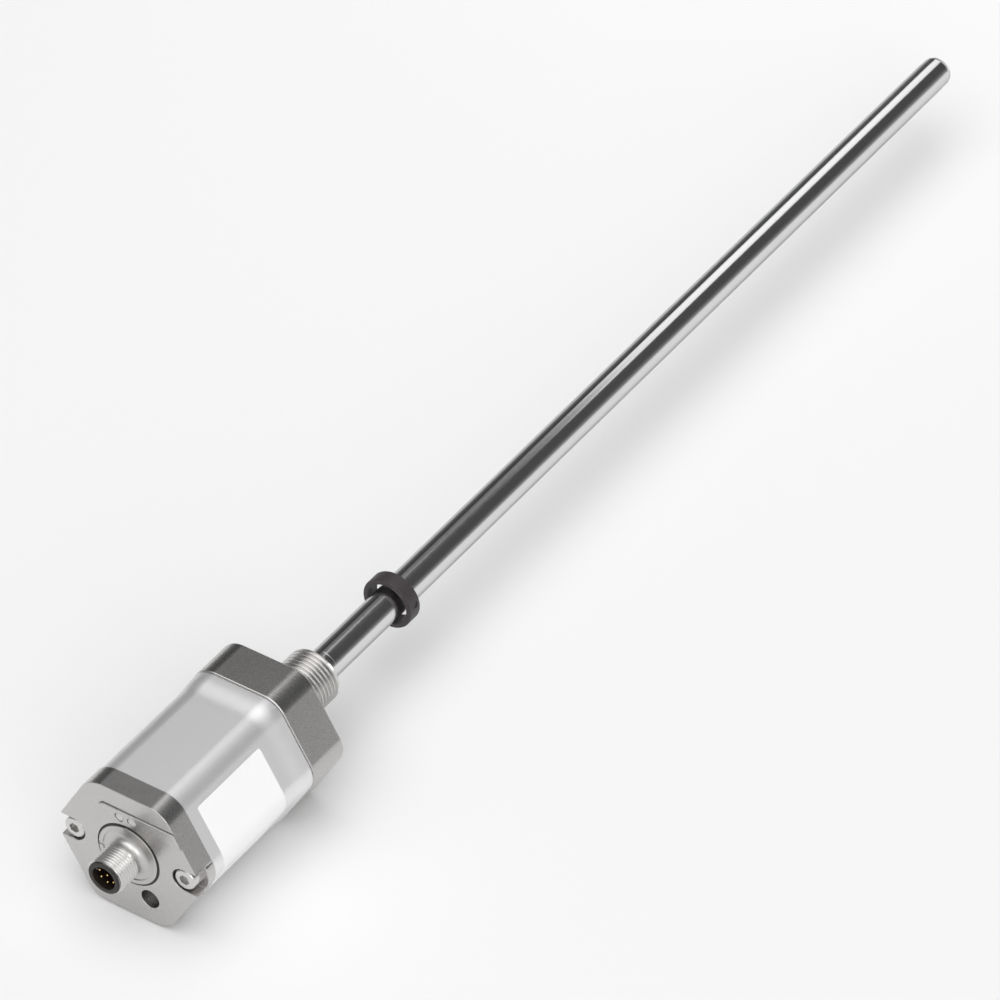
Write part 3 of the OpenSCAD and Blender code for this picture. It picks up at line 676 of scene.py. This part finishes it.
label_film = finish("label_film", (0.88, 0.88, 0.88), (0.86, 0.86, 0.86), 0.42, metal=0.0, scale=1800,
                    height=0.04)
label_mesh = bmesh.new()
inset = sleeve_af / 2 - corner_r
half_flat = inset * tan(radians(30))
arc_len = corner_r * radians(60)
label_down = half_flat + arc_len + half_flat + label_up
outline = ((label_x0, -label_up), (label_x1, -label_up), (label_x1, label_down), (label_x0, label_down))
corners = [label_mesh.verts.new((x, s, 0)) for x, s in outline]
label_mesh.faces.new(corners)
bmesh.ops.bevel(label_mesh, geom=corners[:2], offset=upper_round, offset_type="OFFSET", segments=5,
                profile=0.5, affect="VERTICES", material=-1)
lower_corners = [v for v in label_mesh.verts if v.co.y > half_flat + arc_len]
bmesh.ops.bevel(label_mesh, geom=lower_corners, offset=lower_round, offset_type="OFFSET", segments=8,
                profile=0.5, affect="VERTICES", material=-1)
for k in range(bend_steps + 1):
    bmesh.ops.bisect_plane(label_mesh, geom=label_mesh.verts[:] + label_mesh.edges[:] + label_mesh.faces[:],
                           dist=1e-5, plane_co=(0, half_flat + arc_len * k / bend_steps, 0),
                           plane_no=(0, 1, 0))
lifted = bmesh.ops.extrude_face_region(label_mesh, geom=label_mesh.faces[:])["geom"]
upper_side = [v for v in lifted if isinstance(v, bmesh.types.BMVert)]
bmesh.ops.translate(label_mesh, vec=(0, 0, label_t), verts=upper_side)
for v in label_mesh.verts:
    s = v.co.y
    out = v.co.z
    bend = min(max((s - half_flat) / arc_len, 0.0), 1.0)
    angle = radians(30 - 60 * bend)
    along = min(s, half_flat) if s <= half_flat else max(s - arc_len - 2 * half_flat, -half_flat)
    normal = Vector((0, -cos(angle), sin(angle)))
    tangent = Vector((0, -sin(angle), -cos(angle)))
    if bend in (0.0, 1.0):
        spot = normal * (sleeve_af / 2 + out) + tangent * along
    else:
        middle = Vector((0, -inset / cos(radians(30)), 0))
        spot = middle + normal * (corner_r + out)
    v.co = Vector((v.co.x, spot.y, spot.z))
make_piece(label_mesh, "label_sheet", "sensor", ["rating_label"], label_film, sharp=40)

# Ring magnet
# A pressed ring of bound ferrite, matt and dark, with broken edges and a small
# blind hole moulded in its side.
ring_out = 8.5
ring_in = 6.75
ring_x0 = 57.5
ring_x1 = 62.5
ring_edge = 0.4
ring_cut = 0.12
ring_chamfer = 0.25
dimple_x = 60.3
dimple_r = 1.1
dimple_len = 2.0
dimple_away = 0.65
dimple_turn = -12

matt_ferrite = finish("matt_ferrite", (0.058, 0.048, 0.051), (0.020, 0.017, 0.018), 0.5, metal=0.0,
                      scale=1700, height=0.7, spread=0.15)
ring_mesh = bmesh.new()
turn(ring_mesh, [(ring_x0, ring_in + ring_chamfer), (ring_x0, ring_out - ring_edge),
                 (ring_x0 + ring_cut, ring_out - ring_cut), (ring_x0 + ring_edge, ring_out),
                 (ring_x1 - ring_edge, ring_out), (ring_x1 - ring_cut, ring_out - ring_cut),
                 (ring_x1, ring_out - ring_edge), (ring_x1, ring_in + ring_chamfer),
                 (ring_x1 - ring_chamfer, ring_in), (ring_x0 + ring_chamfer, ring_in)], steps=128)
dimple = bmesh.new()
bmesh.ops.create_cone(dimple, cap_ends=True, segments=32, radius1=dimple_r, radius2=dimple_r,
                      depth=dimple_len)
bmesh.ops.rotate(dimple, cent=(0, 0, 0), matrix=Matrix.Rotation(radians(90), 3, "X"), verts=dimple.verts)
bmesh.ops.translate(dimple, vec=(dimple_x, -ring_out - dimple_away, 0), verts=dimple.verts)
bmesh.ops.rotate(dimple, cent=(0, 0, 0), matrix=Matrix.Rotation(radians(dimple_turn), 3, "X"),
                 verts=dimple.verts)
ring_mesh = carve(ring_mesh, [dimple])
make_piece(ring_mesh, "ferrite_ring", "magnet", ["position_magnet"], matt_ferrite)

# Pieces inside
# Boards, chips, strips, the pick-up and the sensing element keep their plain
# solids, each in the finish of its own stuff: pale, dark, roughness and metal.
inside = {
    "solder_resist": (["main_board", "power_board", "connector_board"],
                      (0.05, 0.24, 0.12), (0.03, 0.17, 0.08), 0.3, 0.0),
    "black_moulding": (["board_header", "processor_chip", "signal_chips"],
                       (0.05, 0.05, 0.055), (0.03, 0.03, 0.034), 0.5, 0.0),
    "lamp_body": (["status_leds"], (0.82, 0.81, 0.74), (0.74, 0.73, 0.66), 0.4, 0.0),
    "dark_ferrite": (["power_inductor", "bias_magnet"], (0.16, 0.16, 0.17), (0.11, 0.11, 0.12), 0.5, 0.3),
    "drawn_can": (["power_capacitors", "shield_can"], (0.68, 0.68, 0.66), (0.58, 0.58, 0.56), 0.3, 1.0),
    "amber_film": (["connector_flex", "head_flex"], (0.60, 0.35, 0.08), (0.50, 0.28, 0.06), 0.3, 0.0),
    "carrier_moulding": (["head_carrier"], (0.10, 0.11, 0.13), (0.07, 0.08, 0.09), 0.5, 0.0),
    "pale_moulding": (["pickup_bobbin"], (0.78, 0.76, 0.68), (0.70, 0.68, 0.60), 0.45, 0.0),
    "copper_winding": (["pickup_coil"], (0.72, 0.34, 0.16), (0.50, 0.20, 0.08), 0.3, 0.9),
    "guide_wire": (["waveguide"], (0.70, 0.68, 0.64), (0.62, 0.60, 0.56), 0.25, 1.0),
    "turned_brass": (["waveguide_clamp", "end_terminal"], (0.76, 0.60, 0.30), (0.66, 0.50, 0.24), 0.28, 1.0),
    "white_sleeving": (["waveguide_sleeve", "centring_spacers"],
                       (0.85, 0.85, 0.82), (0.78, 0.78, 0.75), 0.45, 0.0),
    "red_enamel": (["return_conductor"], (0.50, 0.07, 0.05), (0.40, 0.05, 0.04), 0.35, 0.0),
    "damping_rubber": (["damping_element"], (0.28, 0.10, 0.09), (0.22, 0.07, 0.06), 0.55, 0.0),
    "inner_rubber": (["rear_gasket", "front_gasket"], (0.02, 0.02, 0.02), (0.012, 0.012, 0.012), 0.35, 0.0),
    "plated_nut": (["connector_nut"], (0.72, 0.71, 0.70), (0.64, 0.63, 0.62), 0.25, 1.0),
}
for name, (nodes, pale, dark, rough, metal) in inside.items():
    material = finish(name, pale, dark, rough, metal=metal, scale=2200, height=0.15)
    for node in nodes:
        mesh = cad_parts[node].data
        mesh.materials.clear()
        mesh.materials.append(material)

# Studio
# A pale floor just under the flange's lower flat, soft lamps, a tall white card
# beyond the rod's tip that its polish mirrors, and a long lens.
floor_half = 6.0
floor_level = -0.0231
floor_tone = 0.84

floor_mesh = bmesh.new()
bmesh.ops.create_grid(floor_mesh, x_segments=1, y_segments=1, size=floor_half)
bmesh.ops.translate(floor_mesh, vec=(0, 0, floor_level), verts=floor_mesh.verts)
mesh = bpy.data.meshes.new("studio_floor")
floor_mesh.to_mesh(mesh)
floor_mesh.free()
floor = bpy.data.objects.new("studio_floor", mesh)
scene.collection.objects.link(floor)
floor_paint = bpy.data.materials.new("floor_paint")
floor_paint.use_nodes = True
floor_shader = floor_paint.node_tree.nodes["Principled BSDF"]
floor_shader.inputs["Base Color"].default_value = (floor_tone, floor_tone, floor_tone, 1)
floor_shader.inputs["Roughness"].default_value = 0.9
floor_shader.inputs["Specular IOR Level"].default_value = 0.0
mesh.materials.append(floor_paint)

world = bpy.data.worlds.new("studio_world")
scene.world = world
world.use_nodes = True
sky = world.node_tree
air = sky.nodes["Background"]
way = sky.nodes.new("ShaderNodeTexCoord")
parts = sky.nodes.new("ShaderNodeSeparateXYZ")
sky.links.new(way.outputs["Generated"], parts.inputs["Vector"])


def zone(value, start, end, tone_start=0.0, tone_end=1.0):
    """Maps the value from start to end onto two levels, and holds them beyond."""
    node = sky.nodes.new("ShaderNodeMapRange")
    node.inputs["From Min"].default_value = start
    node.inputs["From Max"].default_value = end
    node.inputs["To Min"].default_value = tone_start
    node.inputs["To Max"].default_value = tone_end
    sky.links.new(value, node.inputs["Value"])
    return node.outputs["Result"]


def blend(share, *tones):
    """Mixes two tones by the share, each tone a grey level or another node's output."""
    node = sky.nodes.new("ShaderNodeMix")
    node.data_type = "RGBA"
    sky.links.new(share, node.inputs["Factor"])
    for label, tone in zip("AB", tones):
        if isinstance(tone, float):
            node.inputs[label].default_value = (tone, tone, tone, 1)
        else:
            sky.links.new(tone, node.inputs[label])
    return node.outputs["Result"]


# On the near side, pale below the horizon and darker from there to the top
lift = zone(parts.outputs["Z"], -1.0, 1.0)
ramp = sky.nodes.new("ShaderNodeValToRGB")
sky.links.new(lift, ramp.inputs["Fac"])
stops = ((0.0, 0.80), (0.49, 0.80), (0.51, 0.40), (0.60, 0.16), (0.69, 0.075), (1.0, 0.065))
for end, (position, value) in zip(ramp.color_ramp.elements, (stops[0], stops[-1])):
    end.position = position
    end.color = (value, value, value, 1)
for position, value in stops[1:-1]:
    stop = ramp.color_ramp.elements.new(position)
    stop.color = (value, value, value, 1)

# On the far side, dark, with one soft light patch that the upper flats mirror
beyond = zone(parts.outputs["Y"], 0.1, 0.5)
low = zone(parts.outputs["Z"], 0.08, 0.42, 0.22, 0.05)
toward = sky.nodes.new("ShaderNodeVectorMath")
toward.operation = "DOT_PRODUCT"
toward.inputs[1].default_value = (0.62, 0.34, 0.707)
sky.links.new(way.outputs["Generated"], toward.inputs[0])
patch = zone(toward.outputs["Value"], 0.965, 0.995, 0.0, 0.19)
far_side = sky.nodes.new("ShaderNodeMath")
far_side.operation = "ADD"
sky.links.new(low, far_side.inputs[0])
sky.links.new(patch, far_side.inputs[1])
shade = blend(beyond, ramp.outputs["Color"], far_side.outputs["Value"])

# Behind the head, a bright fill on the near side and a weaker one on the far side
behind = zone(parts.outputs["X"], 0.45, 0.0)
fill = blend(beyond, 0.95, 0.30)
room = blend(behind, shade, fill)

# Ahead of the rod's tip, the white card
ahead = zone(parts.outputs["X"], 0.83, 0.93)
sky.links.new(blend(ahead, room, 0.72), air.inputs["Color"])


def soft_lamp(name, spot, target, width, height, power):
    """A rectangular lamp that faces its target."""
    light = bpy.data.lights.new(name, "AREA")
    light.shape = "RECTANGLE"
    light.size = width
    light.size_y = height
    light.energy = power
    lamp = bpy.data.objects.new(name, light)
    lamp.location = spot
    lamp.rotation_euler = (Vector(target) - Vector(spot)).to_track_quat("-Z", "Y").to_euler()
    scene.collection.objects.link(lamp)


soft_lamp("overhead_lamp", (-0.25, 0.15, 2.3), (0.0, 0.0, 0.0), 3.2, 3.2, 42)
soft_lamp("side_lamp", (-1.3, -1.5, 1.1), (0.0, 0.0, 0.0), 1.3, 1.3, 10)
soft_lamp("tip_card", (0.65, 0.13, 0.378), (0.65, 0.0, 0.0), 0.30, 0.34, 0.37)

lens = bpy.data.cameras.new("camera")
lens.sensor_width = 36.0
lens.lens = 254.43
lens.clip_start = 0.1
lens.clip_end = 50.0
camera = bpy.data.objects.new("camera", lens)
camera_spot = (-1.184945, -0.910116, 1.375111)
camera_heading = -55.0267
camera_drop = 40.9379
camera_roll = -0.9991
aim = (Matrix.Rotation(radians(camera_heading), 4, "Z") @ Matrix.Rotation(radians(90 - camera_drop), 4, "X")
       @ Matrix.Rotation(radians(camera_roll), 4, "Z"))
camera.matrix_world = Matrix.Translation(camera_spot) @ aim
scene.collection.objects.link(camera)
scene.camera = camera
scene.view_settings.view_transform = "Standard"
